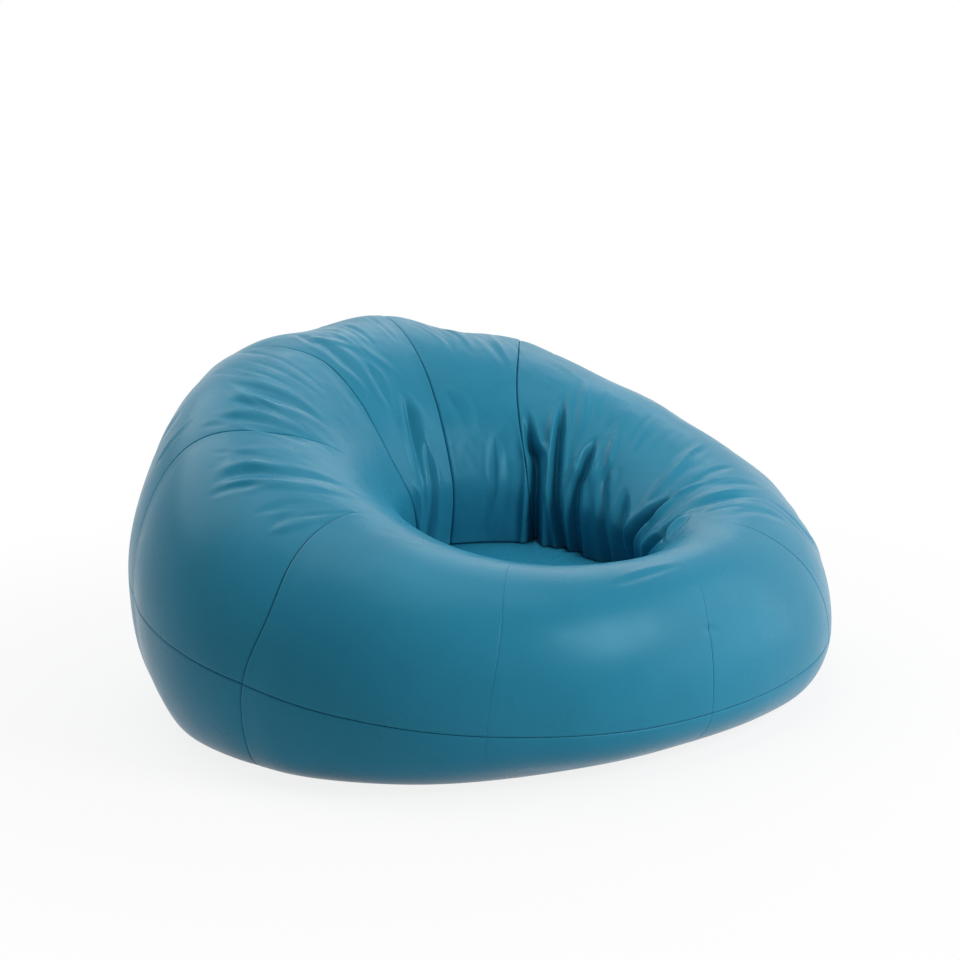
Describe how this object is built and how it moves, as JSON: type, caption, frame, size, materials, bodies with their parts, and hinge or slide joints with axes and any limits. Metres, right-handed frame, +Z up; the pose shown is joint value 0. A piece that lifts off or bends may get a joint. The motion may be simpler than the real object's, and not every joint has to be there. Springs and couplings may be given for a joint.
{
  "type": "bean bag chair",
  "caption": "Low round bean bag chair with a sat-in seat hollow and raised back, sewn from leather-look panels over a zipped liner filled with foam beads.",
  "frame": {"origin": "on the floor, under the middle of the chair's bounding box", "axes": "+Z up, -Y towards the low front edge of the seat, +X to the sitter's left as seen from the front"},
  "size_m": [1.076, 0.9563, 0.513],
  "materials": {
    "cover": "satin",
    "zip_tape": "matte",
    "zip_teeth": "satin",
    "zip_metal": "satin",
    "liner": "matte",
    "beads": "matte"
  },
  "bodies": {
    "bag": {"top_panel_1": "cover", "top_panel_2": "cover", "top_panel_3": "cover", "top_panel_4": "cover", "top_panel_5": "cover", "top_panel_6": "cover", "top_panel_7": "cover", "top_panel_8": "cover", "top_panel_9": "cover", "lower_panel_1": "cover", "lower_panel_2": "cover", "lower_panel_3": "cover", "lower_panel_4": "cover", "lower_panel_5": "cover", "lower_panel_6": "cover", "lower_panel_7": "cover", "lower_panel_8": "cover", "lower_panel_9": "cover", "seat_panel": "cover", "base_front": "cover", "base_back": "cover", "cover_zip_tape_front": "zip_tape", "cover_zip_tape_back": "zip_tape", "liner_zip_tape_front": "zip_tape", "liner_zip_tape_back": "zip_tape", "cover_zip_teeth_front": "zip_teeth", "cover_zip_teeth_back": "zip_teeth", "liner_zip_coil_front": "zip_teeth", "liner_zip_coil_back": "zip_teeth", "cover_zip_top_stops": "zip_metal", "cover_zip_bottom_stop": "zip_metal", "liner_zip_top_stops": "zip_metal", "liner_zip_bottom_stop": "zip_metal", "liner": "liner", "filling": "beads"},
    "cover_zip_slider": {"cover_zip_slider": "zip_metal"},
    "liner_zip_slider": {"liner_zip_slider": "zip_metal"}
  },
  "joints": [
    {"name": "cover_zip_slide", "type": "slide", "parent": "bag", "child": "cover_zip_slider", "axis": [-1, 0, 0], "range_m": [0, 0.43], "deforming": ["cover_zip_teeth_front", "cover_zip_teeth_back"]},
    {"name": "liner_zip_slide", "type": "slide", "parent": "bag", "child": "liner_zip_slider", "axis": [-1, 0, 0], "range_m": [0, 0.39], "deforming": ["liner_zip_coil_front", "liner_zip_coil_back"]}
  ]
}
